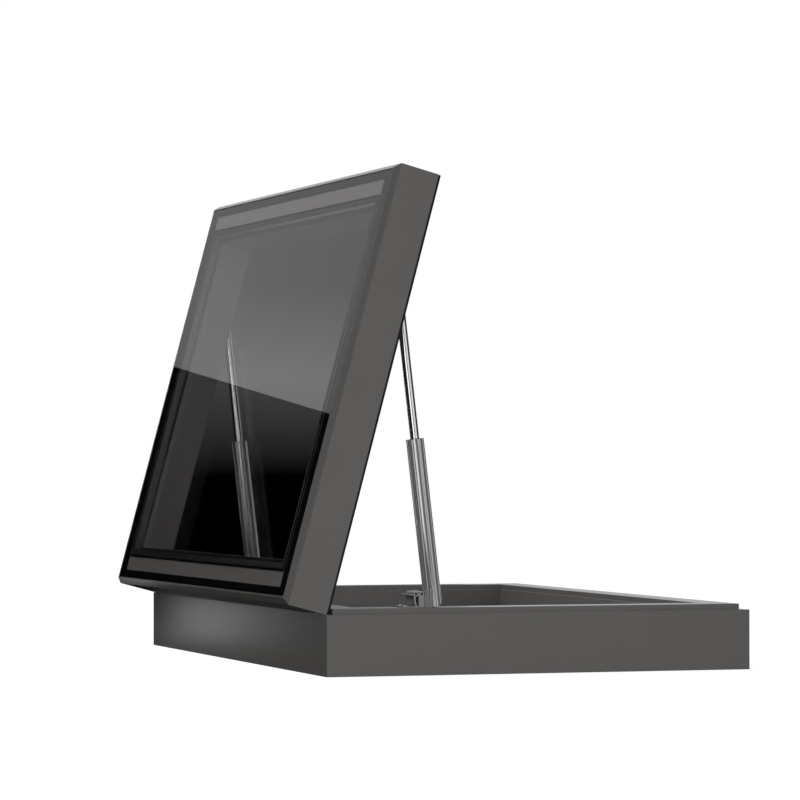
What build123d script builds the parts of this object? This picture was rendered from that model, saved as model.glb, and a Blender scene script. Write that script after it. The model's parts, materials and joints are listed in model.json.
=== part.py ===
"""Hinged roof skylight: a kerb frame and a glazed sash held open on two telescopic struts.

Millimetres, +Z up. The origin is the centre of the base frame on its underside. The hinge runs
along Y on the -X side, and the sash stands open, as it does in use. "Right" is the -Y side and
"left" the +Y side, seen from the hinge.
"""
import os

from build123d import *

os.makedirs("parts", exist_ok=True)

# Whole skylight
plan_length = 1000.0
plan_width = 1500.0
shoulder_height = 135.0
sash_height = 108.0
open_angle = 75.0
edge_radius = 0.8
overrun = 5.0
fit_clear = 0.05
seat_clear = 0.1

# Base rail section, counted inward from the outer face
shoulder_width = 18.0
ring_width = 69.0
ring_rise = 13.0
inner_step = 4.0
base_wall = 3.0
base_floor = 4.0
flange_reach = 30.0
ring_inner = shoulder_width + ring_width
base_depth = ring_inner + inner_step
ring_top = shoulder_height + ring_rise
web_place = shoulder_width + ring_width / 2

# Screw holes in the base flange
fixing_radius = 4.5
fixing_long_inset = 350.0
fixing_short_inset = 300.0
fixing_inset = base_depth + flange_reach / 2

# Sash rail section, heights counted up from the shoulder
seal_height = 6.0
closing_gap = 0.3
leg_width = 15.5
leg_foot = 3.2
sash_wall = 2.5
inner_wall = 3.0
sash_depth = 100.0
channel_height = 58.0
edge_chamfer = 12.5
lip_width = 1.5
glass_rebate = 8.0
plate_reach = 69.0
ledge_drop = 23.0
lip_inner = edge_chamfer + lip_width
plate_level = sash_height - glass_rebate
ledge_level = plate_level - ledge_drop
chamber_floor = channel_height + sash_wall

# Glazing unit
outer_pane_thickness = 6.0
inner_pane_thickness = 6.0
pane_edge_gap = 1.0
bond_thickness = 1.5
bond_margin = 1.0
rail_bond_width = 19.0
side_bond_width = 46.0
sealant_width = 5.5
spacer_width = 12.5
glazing_gasket_thickness = 2.5
gasket_margin = 2.0

# Sash seal
seal_margin = 1.0
hinge_seal_inset = 7.0

# Corner cleats
cleat_length = 90.0
cleat_thickness = 6.0
cleat_end_gap = 2.0

# Hinges
hinge_inset = 3.0
hinge_rise = 3.0
hinge_end_inset = 230.0
leaf_length = 100.0
leaf_thickness = 1.5
leaf_edge = 1.4
base_leaf_width = 14.6
sash_leaf_width = 12.6
knuckle_radius = 2.6
knuckle_web = 3.2
middle_knuckle = 40.0
knuckle_gap = 0.5
hinge_pin_radius = 1.5
leaf_screw_radius = 1.6
leaf_screw_head = 3.0
leaf_screw_length = 7.0
leaf_screw_pitch = 35.0
leaf_screw_inset = 10.0
countersink_angle = 90.0

# Struts
strut_inset = 53.0
strut_clear = 1.0
lower_pivot_reach = 260.5
upper_pivot_inset = 216.0
tube_reach = 352.7
tube_radius = 20.0
tube_bore = 16.5
flute_count = 10
flute_radius = 3.0
flute_depth = 1.2
plug_reach = 34.0
gland_length = 26.0
wiper_height = 4.0
wiper_radius = 13.5
rod_radius = 10.0
piston_length = 14.0
piston_stop_gap = 10.0
pivot_pin_radius = 6.0
pin_depth = 12.0
pin_head_radius = 9.0
pin_head_height = 3.0
eye_radius = 16.0
eye_width = 20.0
eye_collar_radius = 13.0
eye_collar_length = 26.0
rod_socket_depth = 14.0
open_pivot_gap = 0.3

# Strut brackets on the base
pivot_plate_gap = 2.0
pivot_plate_thickness = 8.0
pivot_plate_left = 35.0
pivot_boss_radius = 16.0
bracket_lead = 62.5
bracket_front = 27.0
foot_back_reach = 14.0
foot_thickness = 3.0
arm_length = 39.5
arm_level = 27.0
arm_thickness = 2.5
port_radius = 6.0
port_bore = 2.6
port_pitch = 13.0
port_place = 16.0
port_level = 30.0
leg_top = 11.0
leg_bulge = 11.5
leg_bottom = 16.0
leg_thickness = 4.0
block_start = 21.7
block_end = 36.2
lug_end = 54.0
lug_height = 38.5
lug_front = 24.0
lug_back = 31.0
lug_groove_count = 3
lug_groove_radius = 1.5
bracket_screw_place = -6.0
bracket_screw_edge = 14.0

# Upper brackets under the sash rail's channel
hanger_half_width = 20.0
hanger_foot_length = 66.0
hanger_foot_width = 20.0
hanger_screw_pitch = 48.0
hanger_screw_edge = 6.0

# Bracket screws
screw_radius = 2.4
screw_head_radius = 4.4
screw_head_height = 2.8
screw_head_chamfer = 0.8
screw_length = 12.0

# Places worked out from the sizes above
half_length = plan_length / 2
half_width = plan_width / 2
hinge_x = hinge_inset - half_length
hinge_z = shoulder_height + hinge_rise
outer_hinge_place = half_width - hinge_end_inset
hinge_places = (-outer_hinge_place, 0, outer_hinge_place)
fixing_pitch_long = plan_width - 2 * fixing_long_inset
fixing_pitch_short = plan_length - 2 * fixing_short_inset
upper_pivot_reach = plan_length - upper_pivot_inset
bracket_start = lower_pivot_reach - bracket_lead
pivot_level = ring_top + strut_clear + tube_radius
open_turn = (
    Location((hinge_x, 0, hinge_z))
    * Location((0, 0, 0), (0, -open_angle, 0))
    * Location((-hinge_x, 0, -hinge_z))
)
strut_y = strut_inset - half_width
lower_pivot = Vector(lower_pivot_reach - half_length, strut_y, pivot_level)
upper_pivot_closed = Vector(upper_pivot_reach - half_length, strut_y, pivot_level)
upper_pivot = (open_turn * Location(upper_pivot_closed)).position
open_length = (upper_pivot - lower_pivot).length
strut_direction = (upper_pivot - lower_pivot).normalized()
piston_place = tube_reach - gland_length - piston_stop_gap - piston_length
plate_outer_face = strut_inset + tube_radius + pivot_plate_gap
plate_inner_face = plate_outer_face + pivot_plate_thickness
outer_pane_level = plate_level + bond_thickness
outer_pane_inset = lip_inner + pane_edge_gap
bond_inset = outer_pane_inset + bond_margin
inner_pane_level = ledge_level + glazing_gasket_thickness
inner_pane_inset = plate_reach + pane_edge_gap
spacer_level = inner_pane_level + inner_pane_thickness
spacer_inset = inner_pane_inset + sealant_width
turned_over = Location((0, 0, 0), (180, 0, 0))


# Helpers for planes, mitres and files
def opened(plane: Plane) -> Plane:
    """Carry a plane of the closed sash to its place on the open sash."""
    return Plane(open_turn * plane.location)


def sash_level(height: float) -> Plane:
    """Plane across the open sash at a height above the shoulder."""
    return opened(Plane.XY.offset(shoulder_height + height))


def side_plane(inward: Vector, reach: float, level: float) -> Plane:
    """Section plane of a rail: x runs inward from the outer face, y runs up."""
    return Plane(
        origin=inward * -reach + Vector(0, 0, level),
        x_dir=inward,
        z_dir=inward.cross(Vector(0, 0, 1)),
    )


def facing_plane(reach: float, inset: float, level: float) -> Plane:
    """Upright plane that faces the right side, so that a sketch on it is extruded outward."""
    return Plane(
        origin=(reach - half_length, inset - half_width, level),
        x_dir=(1, 0, 0),
        z_dir=(0, -1, 0),
    )


def strut_plane(along: float) -> Plane:
    """Plane across the strut, a distance along it from the lower pivot."""
    return Plane(
        origin=lower_pivot + strut_direction * along,
        x_dir=(0, 1, 0),
        z_dir=strut_direction,
    )


def pivot_plane(pivot: Vector, inward: float) -> Plane:
    """Plane across a pivot pin, with x along the strut, facing the right side."""
    return Plane(
        origin=pivot + Vector(0, inward, 0),
        x_dir=strut_direction,
        z_dir=(0, -1, 0),
    )


def mitre_ends(plane: Plane, run: float) -> None:
    """Cut both ends of the rail that is being built to 45 degrees."""
    for end in (-1, 1):
        along = plane.z_dir * end
        corner = plane.origin + along * (run / 2)
        split(bisect_by=Plane(origin=corner, z_dir=(plane.x_dir + along) * -1), keep=Keep.TOP)


def write_piece(piece: BuildPart, name: str) -> None:
    """Name a finished piece and write it to a file of its own."""
    piece.part.label = name
    export_step(piece.part, f"parts/{name}.step")


def write_pair(piece: BuildPart, name: str) -> None:
    """Write a right-hand piece, and its mirror image on the left."""
    write_piece(piece, f"{name}_right")
    with BuildPart() as other_side:
        mirror(piece.part, about=Plane.XZ)
    write_piece(other_side, f"{name}_left")


# Places of the screws
def leaf_screw_spots(y: float) -> list:
    """Places of one hinge leaf's screws, in the leaf's own plane."""
    spots = (y - leaf_screw_pitch, y, y + leaf_screw_pitch)
    return [Location((leaf_screw_inset - half_length, spot, 0)) for spot in spots]


def base_leaf_spots(y: float) -> list:
    """Places of a base leaf's screws, pointing down into the shoulder."""
    level = Plane.XY.offset(shoulder_height).location
    return [level * spot for spot in leaf_screw_spots(y)]


def sash_leaf_spots(y: float) -> list:
    """Places of a sash leaf's screws, pointing up into the rail's leg."""
    level = sash_level(seal_height).location
    return [level * spot * turned_over for spot in leaf_screw_spots(y)]


bracket_screw_x = bracket_start + bracket_screw_place - half_length
bracket_screw_insets = (bracket_front + bracket_screw_edge, plate_inner_face - bracket_screw_edge)
bracket_spots = [
    Location((bracket_screw_x, inset - half_width, ring_top)) for inset in bracket_screw_insets
]
hanger_screw_y = plate_inner_face + hanger_screw_edge - half_width
hanger_spots = [
    sash_level(channel_height).location
    * Location((upper_pivot_closed.X + side * hanger_screw_pitch / 2, hanger_screw_y, 0))
    * turned_over
    for side in (-1, 1)
]
fixing_x = half_length - fixing_inset
fixing_y = half_width - fixing_inset


# Rails
def make_base_rail(plane: Plane, run: float, fixings: list) -> BuildPart:
    """Hollow base rail with its shoulder, raised ring and fixing flange, cut to mitres."""
    with BuildPart() as rail:
        with BuildSketch(plane) as section:
            with BuildLine():
                Polyline(
                    (0, 0),
                    (0, shoulder_height),
                    (shoulder_width, shoulder_height),
                    (shoulder_width, ring_top),
                    (ring_inner, ring_top),
                    (ring_inner, shoulder_height),
                    (base_depth, shoulder_height),
                    (base_depth, base_floor),
                    (base_depth + flange_reach, base_floor),
                    (base_depth + flange_reach, 0),
                    close=True,
                )
            make_face()
            fillet(section.vertices().filter_by_position(Axis.Y, shoulder_height, ring_top), edge_radius)
            with BuildLine():
                Polyline(
                    (base_wall, base_floor),
                    (base_wall, shoulder_height - base_wall),
                    (shoulder_width + base_wall, shoulder_height - base_wall),
                    (shoulder_width + base_wall, ring_top - base_wall),
                    (web_place - base_wall / 2, ring_top - base_wall),
                    (web_place - base_wall / 2, base_floor),
                    close=True,
                )
            make_face(mode=Mode.SUBTRACT)
            with BuildLine():
                Polyline(
                    (web_place + base_wall / 2, base_floor),
                    (web_place + base_wall / 2, ring_top - base_wall),
                    (ring_inner - base_wall, ring_top - base_wall),
                    (ring_inner - base_wall, shoulder_height - base_wall),
                    (base_depth - base_wall, shoulder_height - base_wall),
                    (base_depth - base_wall, base_floor),
                    close=True,
                )
            make_face(mode=Mode.SUBTRACT)
        extrude(amount=run / 2, both=True)
        mitre_ends(plane, run)
        with BuildSketch(Plane.XY):
            with Locations(*fixings):
                Circle(fixing_radius)
        extrude(amount=base_floor, mode=Mode.SUBTRACT)
    return rail


def make_sash_rail(plane: Plane, run: float) -> BuildPart:
    """Hollow sash rail: an inverted channel with a glazing ledge and a chamfered, lipped edge."""
    with BuildPart() as rail:
        with BuildSketch(plane) as section:
            with BuildLine():
                Polyline(
                    (0, seal_height),
                    (0, sash_height - edge_chamfer),
                    (edge_chamfer, sash_height),
                    (lip_inner, sash_height),
                    (lip_inner, plate_level),
                    (plate_reach, plate_level),
                    (plate_reach, ledge_level),
                    (sash_depth, ledge_level),
                    (sash_depth, closing_gap),
                    (sash_depth - inner_wall, closing_gap),
                    (sash_depth - inner_wall, channel_height),
                    (leg_width, channel_height),
                    (leg_width, seal_height),
                    close=True,
                )
            make_face()
            fillet(section.vertices().filter_by_position(Axis.X, 0, edge_chamfer), edge_radius)
            with BuildLine():
                Polyline(
                    (sash_wall, seal_height + leg_foot),
                    (sash_wall, channel_height),
                    (leg_width - sash_wall, channel_height),
                    (leg_width - sash_wall, seal_height + leg_foot),
                    close=True,
                )
            make_face(mode=Mode.SUBTRACT)
            with BuildLine():
                Polyline(
                    (sash_wall, chamber_floor),
                    (sash_wall, sash_height - edge_chamfer - sash_wall / 2),
                    (edge_chamfer - glass_rebate + sash_wall / 2, plate_level - sash_wall),
                    (plate_reach - sash_wall, plate_level - sash_wall),
                    (plate_reach - sash_wall, chamber_floor),
                    close=True,
                )
            make_face(mode=Mode.SUBTRACT)
            with BuildLine():
                Polyline(
                    (plate_reach, chamber_floor),
                    (plate_reach, ledge_level - sash_wall),
                    (sash_depth - inner_wall, ledge_level - sash_wall),
                    (sash_depth - inner_wall, chamber_floor),
                    close=True,
                )
            make_face(mode=Mode.SUBTRACT)
        extrude(amount=run / 2, both=True)
        mitre_ends(plane, run)
    return rail


def make_cleats(plane: Plane, inset: float, height: float, along: Plane, across: Plane) -> BuildPart:
    """Four angle cleats, one behind each mitre."""
    corner_x = half_length - inset
    corner_y = half_width - inset
    with BuildPart() as cleats:
        with BuildSketch(plane):
            with BuildLine():
                Polyline(
                    (corner_x, corner_y),
                    (corner_x - cleat_length, corner_y),
                    (corner_x - cleat_length, corner_y - cleat_thickness),
                    (corner_x - cleat_thickness, corner_y - cleat_thickness),
                    (corner_x - cleat_thickness, corner_y - cleat_length),
                    (corner_x, corner_y - cleat_length),
                    close=True,
                )
            make_face()
        extrude(amount=height)
        mirror(about=along)
        mirror(about=across)
    return cleats


# Base frame
hinge_base = make_base_rail(
    side_plane(Vector(1, 0, 0), half_length, 0),
    plan_width,
    [(-fixing_x, side * fixing_pitch_long / 2) for side in (-1, 1)],
)
with BuildPart() as base_hinge_rail:
    add(hinge_base.part)
    with BuildSketch(Plane.XY.offset(shoulder_height)):
        with Locations(*[(leaf_edge + base_leaf_width / 2 - half_length, y) for y in hinge_places]):
            Rectangle(base_leaf_width, leaf_length)
    extrude(amount=-leaf_thickness, mode=Mode.SUBTRACT)
    with Locations(*[spot for y in hinge_places for spot in base_leaf_spots(y)]):
        Hole(leaf_screw_radius, depth=leaf_screw_length)
write_piece(base_hinge_rail, "base_rail_hinge")

base_opening_rail = make_base_rail(
    side_plane(Vector(-1, 0, 0), half_length, 0),
    plan_width,
    [(fixing_x, side * fixing_pitch_long / 2) for side in (-1, 1)],
)
write_piece(base_opening_rail, "base_rail_opening")

right_base = make_base_rail(
    side_plane(Vector(0, 1, 0), half_width, 0),
    plan_length,
    [(side * fixing_pitch_short / 2, -fixing_y) for side in (-1, 1)],
)
with BuildPart() as base_right_rail:
    add(right_base.part)
    with Locations(*bracket_spots):
        Hole(screw_radius + seat_clear, depth=screw_length)
write_pair(base_right_rail, "base_rail")

base_cleats = make_cleats(
    Plane.XY.offset(base_floor + cleat_end_gap),
    base_wall + seat_clear,
    shoulder_height - base_wall - base_floor - 2 * cleat_end_gap,
    Plane.XZ,
    Plane.YZ,
)
write_piece(base_cleats, "base_corner_cleats")

# Sash frame
hinge_sash = make_sash_rail(
    opened(side_plane(Vector(1, 0, 0), half_length, shoulder_height)), plan_width
)
with BuildPart() as sash_hinge_rail:
    add(hinge_sash.part)
    with BuildSketch(sash_level(seal_height)):
        with Locations(*[(leaf_edge + sash_leaf_width / 2 - half_length, y) for y in hinge_places]):
            Rectangle(sash_leaf_width, leaf_length)
    extrude(amount=leaf_thickness, mode=Mode.SUBTRACT)
    with Locations(*[spot for y in hinge_places for spot in sash_leaf_spots(y)]):
        Hole(leaf_screw_radius, depth=leaf_screw_length)
write_piece(sash_hinge_rail, "sash_rail_hinge")

sash_opening_rail = make_sash_rail(
    opened(side_plane(Vector(-1, 0, 0), half_length, shoulder_height)), plan_width
)
write_piece(sash_opening_rail, "sash_rail_opening")

right_sash = make_sash_rail(
    opened(side_plane(Vector(0, 1, 0), half_width, shoulder_height)), plan_length
)
with BuildPart() as sash_right_rail:
    add(right_sash.part)
    with Locations(*hanger_spots):
        Hole(screw_radius + seat_clear, depth=screw_length)
write_pair(sash_right_rail, "sash_rail")

sash_cleats = make_cleats(
    sash_level(chamber_floor + cleat_end_gap),
    sash_wall + seat_clear,
    sash_height - edge_chamfer - sash_wall / 2 - chamber_floor - 2 * cleat_end_gap,
    opened(Plane.XZ),
    opened(Plane.YZ),
)
write_piece(sash_cleats, "sash_corner_cleats")

with BuildPart() as sash_seal:
    seal_length = plan_length - hinge_seal_inset - seal_margin
    with BuildSketch(sash_level(closing_gap)):
        with Locations(((hinge_seal_inset - seal_margin) / 2, 0)):
            Rectangle(seal_length, plan_width - 2 * seal_margin)
        Rectangle(plan_length - 2 * leg_width, plan_width - 2 * leg_width, mode=Mode.SUBTRACT)
    extrude(amount=seal_height - closing_gap)
write_piece(sash_seal, "sash_seal")


# Glazing unit
def make_glazing_ring(outer: float, inner: float, low: float, high: float) -> BuildPart:
    """Rectangular ring of the glazing unit, between two insets and two heights."""
    with BuildPart() as ring:
        with BuildSketch(sash_level(low)):
            Rectangle(plan_length - 2 * outer, plan_width - 2 * outer)
            Rectangle(plan_length - 2 * inner, plan_width - 2 * inner, mode=Mode.SUBTRACT)
        extrude(amount=high - low)
    return ring


def make_pane(inset: float, low: float, thickness: float) -> BuildPart:
    """Flat pane of the glazing unit."""
    with BuildPart() as pane:
        with BuildSketch(sash_level(low)):
            Rectangle(plan_length - 2 * inset, plan_width - 2 * inset)
        extrude(amount=thickness)
    return pane


write_piece(make_pane(outer_pane_inset, outer_pane_level, outer_pane_thickness), "outer_pane")
write_piece(make_pane(inner_pane_inset, inner_pane_level, inner_pane_thickness), "inner_pane")

with BuildPart() as pane_bond:
    clear_length = plan_length - 2 * (bond_inset + rail_bond_width)
    clear_width = plan_width - 2 * (bond_inset + side_bond_width)
    with BuildSketch(sash_level(plate_level)):
        Rectangle(plan_length - 2 * bond_inset, plan_width - 2 * bond_inset)
        Rectangle(clear_length, clear_width, mode=Mode.SUBTRACT)
    extrude(amount=bond_thickness)
write_piece(pane_bond, "pane_bond")

edge_sealant = make_glazing_ring(inner_pane_inset, spacer_inset, spacer_level, outer_pane_level)
write_piece(edge_sealant, "edge_sealant")
spacer_bar = make_glazing_ring(
    spacer_inset, spacer_inset + spacer_width, spacer_level, outer_pane_level
)
write_piece(spacer_bar, "spacer_bar")
glazing_gasket = make_glazing_ring(
    inner_pane_inset, sash_depth - gasket_margin, ledge_level, inner_pane_level
)
write_piece(glazing_gasket, "glazing_gasket")


# Hinges
def knuckle_plane(y: float) -> Plane:
    """Plane across the hinge axis, facing -Y."""
    return Plane(origin=(hinge_x, y, hinge_z), x_dir=(1, 0, 0), z_dir=(0, -1, 0))


def make_base_leaf(y: float) -> BuildPart:
    """Base hinge leaf: a plate let into the shoulder, with a knuckle at each end."""
    end_knuckle = (leaf_length - middle_knuckle) / 2 - knuckle_gap
    starts = (y + leaf_length / 2, y - leaf_length / 2 + end_knuckle)
    with BuildPart() as leaf:
        with BuildSketch(Plane.XY.offset(shoulder_height)):
            with Locations((leaf_edge + base_leaf_width / 2 - half_length, y)):
                Rectangle(base_leaf_width, leaf_length)
        extrude(amount=-leaf_thickness)
        with BuildSketch(*[knuckle_plane(start) for start in starts]):
            Circle(knuckle_radius)
            with Locations((0, -hinge_rise / 2)):
                Rectangle(knuckle_web, hinge_rise)
            Circle(hinge_pin_radius + fit_clear, mode=Mode.SUBTRACT)
        extrude(amount=end_knuckle)
        with Locations(*base_leaf_spots(y)):
            CounterSinkHole(leaf_screw_radius, leaf_screw_head, counter_sink_angle=countersink_angle)
    return leaf


def make_sash_leaf(y: float) -> BuildPart:
    """Sash hinge leaf: a plate let into the rail's leg, with one knuckle in the middle."""
    web_height = seal_height - hinge_rise
    with BuildPart() as leaf:
        with BuildSketch(sash_level(seal_height)):
            with Locations((leaf_edge + sash_leaf_width / 2 - half_length, y)):
                Rectangle(sash_leaf_width, leaf_length)
        extrude(amount=leaf_thickness)
        with BuildSketch(opened(knuckle_plane(y + middle_knuckle / 2))):
            Circle(knuckle_radius)
            with Locations((0, web_height / 2)):
                Rectangle(knuckle_web, web_height)
            Circle(hinge_pin_radius + fit_clear, mode=Mode.SUBTRACT)
        extrude(amount=middle_knuckle)
        with Locations(*sash_leaf_spots(y)):
            CounterSinkHole(leaf_screw_radius, leaf_screw_head, counter_sink_angle=countersink_angle)
    return leaf


def make_hinge_pin(y: float) -> BuildPart:
    """Hinge pin as long as its leaves."""
    with BuildPart() as pin:
        with BuildSketch(knuckle_plane(y + leaf_length / 2)):
            Circle(hinge_pin_radius)
        extrude(amount=leaf_length)
    return pin


def make_leaf_screw() -> BuildPart:
    """Countersunk screw, the head's flat face at the origin and the shank below it."""
    shank = leaf_screw_radius - seat_clear
    head = leaf_screw_head - seat_clear
    with BuildPart() as screw:
        with BuildSketch(Plane.XZ):
            with BuildLine():
                Polyline(
                    (0, 0),
                    (head, 0),
                    (shank, shank - head),
                    (shank, -leaf_screw_length),
                    (0, -leaf_screw_length),
                    close=True,
                )
            make_face()
        revolve(axis=Axis.Z)
    return screw


for place, hinge_y in zip(("right", "middle", "left"), hinge_places):
    write_piece(make_base_leaf(hinge_y), f"base_hinge_leaf_{place}")
    write_piece(make_sash_leaf(hinge_y), f"sash_hinge_leaf_{place}")
    write_piece(make_hinge_pin(hinge_y), f"hinge_pin_{place}")

leaf_screw = make_leaf_screw()
with BuildPart() as base_hinge_screws:
    with Locations(*[spot for y in hinge_places for spot in base_leaf_spots(y)]):
        add(leaf_screw.part)
write_piece(base_hinge_screws, "base_hinge_screws")
with BuildPart() as sash_hinge_screws:
    with Locations(*[spot for y in hinge_places for spot in sash_leaf_spots(y)]):
        add(leaf_screw.part)
write_piece(sash_hinge_screws, "sash_hinge_screws")

# Strut bracket: an extruded clip with two screw ports, a ribbed lug and the pivot plate
bracket_depth = plate_inner_face - bracket_front
with BuildPart() as strut_bracket:
    with BuildSketch(facing_plane(bracket_start, plate_inner_face, ring_top)):
        with Locations((0, arm_level)):
            Rectangle(arm_length, arm_thickness, align=(Align.MIN, Align.MIN))
        with Locations((block_start, 0)):
            Rectangle(block_end - block_start, arm_level, align=(Align.MIN, Align.MIN))
        with Locations((-foot_back_reach, 0)):
            Rectangle(block_end + foot_back_reach, foot_thickness, align=(Align.MIN, Align.MIN))
        with BuildLine():
            outer_arc = ThreePointArc((leg_top, arm_level), (leg_bulge, arm_level / 2), (leg_bottom, 0))
            inner_arc = ThreePointArc(
                (leg_top + leg_thickness, arm_level),
                (leg_bulge + leg_thickness, arm_level / 2),
                (leg_bottom + leg_thickness, 0),
            )
            Line(outer_arc @ 0, inner_arc @ 0)
            Line(outer_arc @ 1, inner_arc @ 1)
        make_face()
        with Locations((port_place, port_level), (port_place + port_pitch, port_level)):
            Circle(port_radius)
        with Locations((port_place, port_level), (port_place + port_pitch, port_level)):
            Circle(port_bore, mode=Mode.SUBTRACT)
    extrude(amount=bracket_depth)
    pivot_rise = pivot_level - ring_top
    with BuildSketch(facing_plane(lower_pivot_reach, plate_inner_face, ring_top)):
        with Locations((-pivot_plate_left, 0)):
            Rectangle(pivot_plate_left + pivot_boss_radius, pivot_rise, align=(Align.MIN, Align.MIN))
        with Locations((0, pivot_rise)):
            Circle(pivot_boss_radius)
            Circle(pivot_pin_radius + fit_clear, mode=Mode.SUBTRACT)
    extrude(amount=pivot_plate_thickness)
    with BuildSketch(Plane.XY.offset(ring_top)):
        lug_start = bracket_start + block_end - half_length
        lug_width = lug_end - block_end
        lug_face = lug_front - half_width
        with Locations((lug_start, lug_face)):
            Rectangle(lug_width, lug_back - lug_front, align=(Align.MIN, Align.MIN))
        groove_step = lug_width / lug_groove_count
        groove_places = [lug_start + groove_step * (i + 1 / 2) for i in range(lug_groove_count)]
        with Locations(*[(place, lug_face) for place in groove_places]):
            Circle(lug_groove_radius, mode=Mode.SUBTRACT)
    extrude(amount=lug_height)
    with Locations(*[spot * Location((0, 0, foot_thickness)) for spot in bracket_spots]):
        Hole(screw_radius + seat_clear, depth=foot_thickness)
write_pair(strut_bracket, "strut_bracket")

with BuildPart() as lower_pin:
    with BuildSketch(facing_plane(lower_pivot_reach, plate_inner_face, pivot_level)):
        Circle(pivot_pin_radius)
    extrude(amount=plate_inner_face - strut_inset + pin_depth)
    with BuildSketch(facing_plane(lower_pivot_reach, plate_inner_face, pivot_level)):
        Circle(pin_head_radius)
    extrude(amount=-pin_head_height)
write_pair(lower_pin, "strut_lower_pin")

# Upper bracket: a pivot plate hung from the channel's ceiling on a screwed foot
hanger_level = shoulder_height + channel_height
with BuildPart() as strut_hanger:
    with BuildSketch(opened(facing_plane(upper_pivot_reach, plate_inner_face, hanger_level))) as hanger:
        hanger_drop = hanger_level - pivot_level
        Rectangle(2 * hanger_half_width, hanger_drop, align=(Align.CENTER, Align.MAX))
        with Locations((0, -hanger_drop)):
            Circle(hanger_half_width)
            Circle(pivot_pin_radius + open_pivot_gap, mode=Mode.SUBTRACT)
    extrude(amount=pivot_plate_thickness)
    foot_center_y = plate_outer_face + hanger_foot_width / 2 - half_width
    with BuildSketch(sash_level(channel_height)):
        with Locations((upper_pivot_closed.X, foot_center_y)):
            Rectangle(hanger_foot_length, hanger_foot_width)
    extrude(amount=-foot_thickness)
    with Locations(*[spot * Location((0, 0, foot_thickness)) for spot in hanger_spots]):
        Hole(screw_radius + seat_clear, depth=foot_thickness)
write_pair(strut_hanger, "strut_upper_bracket")

with BuildPart() as pan_screw:
    with BuildSketch(Plane.XY):
        Circle(screw_head_radius)
    extrude(amount=screw_head_height)
    chamfer(pan_screw.edges().group_by(Axis.Z)[-1], screw_head_chamfer)
    with BuildSketch(Plane.XY):
        Circle(screw_radius)
    extrude(amount=-screw_length)
with BuildPart() as bracket_screws:
    with Locations(*[spot * Location((0, 0, foot_thickness)) for spot in bracket_spots]):
        add(pan_screw.part)
    mirror(about=Plane.XZ)
write_piece(bracket_screws, "strut_bracket_screws")
with BuildPart() as hanger_screws:
    with Locations(*[spot * Location((0, 0, foot_thickness)) for spot in hanger_spots]):
        add(pan_screw.part)
    mirror(about=Plane.XZ)
write_piece(hanger_screws, "upper_bracket_screws")


# Struts
def round_foot() -> None:
    """Round the strut's foot about its lower pivot, so that it can turn close to the ring."""
    reach = tube_radius + overrun
    with BuildSketch(pivot_plane(lower_pivot, 0)) as corners:
        with Locations((-reach / 2, 0)):
            Rectangle(reach, 2 * reach)
        Circle(tube_radius, mode=Mode.SUBTRACT)
    extrude(corners.sketch, amount=reach, both=True, mode=Mode.SUBTRACT)


def bore_pin(depth: float) -> None:
    """Bore the lower pivot's pin hole from the inner side, to a depth past the strut's axis."""
    reach = tube_radius + overrun
    with BuildSketch(pivot_plane(lower_pivot, reach)) as bore:
        Circle(pivot_pin_radius + fit_clear)
    extrude(bore.sketch, amount=reach + depth, mode=Mode.SUBTRACT)


with BuildPart() as strut_tube:
    with BuildSketch(strut_plane(-tube_radius)):
        Circle(tube_radius)
        with PolarLocations(tube_radius + flute_radius - flute_depth, flute_count):
            Circle(flute_radius, mode=Mode.SUBTRACT)
        Circle(tube_bore, mode=Mode.SUBTRACT)
    extrude(amount=tube_radius + tube_reach)
    round_foot()
    bore_pin(0)
write_pair(strut_tube, "strut_tube")

with BuildPart() as strut_plug:
    with BuildSketch(strut_plane(-tube_radius)):
        Circle(tube_bore - fit_clear)
    extrude(amount=tube_radius + plug_reach)
    round_foot()
    bore_pin(pin_depth + seat_clear)
write_pair(strut_plug, "strut_foot_plug")

with BuildPart() as strut_gland:
    with BuildSketch(strut_plane(tube_reach - gland_length)):
        Circle(tube_bore - fit_clear)
        Circle(rod_radius + fit_clear, mode=Mode.SUBTRACT)
    extrude(amount=gland_length)
    with BuildSketch(strut_plane(tube_reach - wiper_height)):
        Circle(wiper_radius)
    extrude(amount=wiper_height, mode=Mode.SUBTRACT)
write_pair(strut_gland, "strut_gland")

with BuildPart() as strut_wiper:
    with BuildSketch(strut_plane(tube_reach - wiper_height)):
        Circle(wiper_radius - fit_clear)
        Circle(rod_radius + fit_clear, mode=Mode.SUBTRACT)
    extrude(amount=wiper_height)
write_pair(strut_wiper, "strut_wiper")

rod_end = open_length - eye_collar_length + rod_socket_depth - seat_clear
with BuildPart() as strut_rod:
    with BuildSketch(strut_plane(piston_place)):
        Circle(rod_radius)
    extrude(amount=rod_end - piston_place)
write_pair(strut_rod, "strut_rod")

with BuildPart() as strut_piston:
    with BuildSketch(strut_plane(piston_place)):
        Circle(tube_bore - fit_clear)
        Circle(rod_radius + fit_clear, mode=Mode.SUBTRACT)
    extrude(amount=piston_length)
write_pair(strut_piston, "strut_piston")

with BuildPart() as strut_rod_eye:
    with BuildSketch(pivot_plane(upper_pivot, eye_width / 2)):
        Circle(eye_radius)
    extrude(amount=eye_width)
    with BuildSketch(strut_plane(open_length - eye_collar_length)):
        Circle(eye_collar_radius)
    extrude(amount=eye_collar_length - pin_head_radius - seat_clear)
    with BuildSketch(strut_plane(open_length - eye_collar_length)):
        Circle(rod_radius + fit_clear)
    extrude(amount=rod_socket_depth, mode=Mode.SUBTRACT)
    with BuildSketch(pivot_plane(upper_pivot, eye_width)):
        Circle(pivot_pin_radius + fit_clear)
    extrude(amount=2 * eye_width, mode=Mode.SUBTRACT)
write_pair(strut_rod_eye, "strut_rod_eye")

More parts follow.
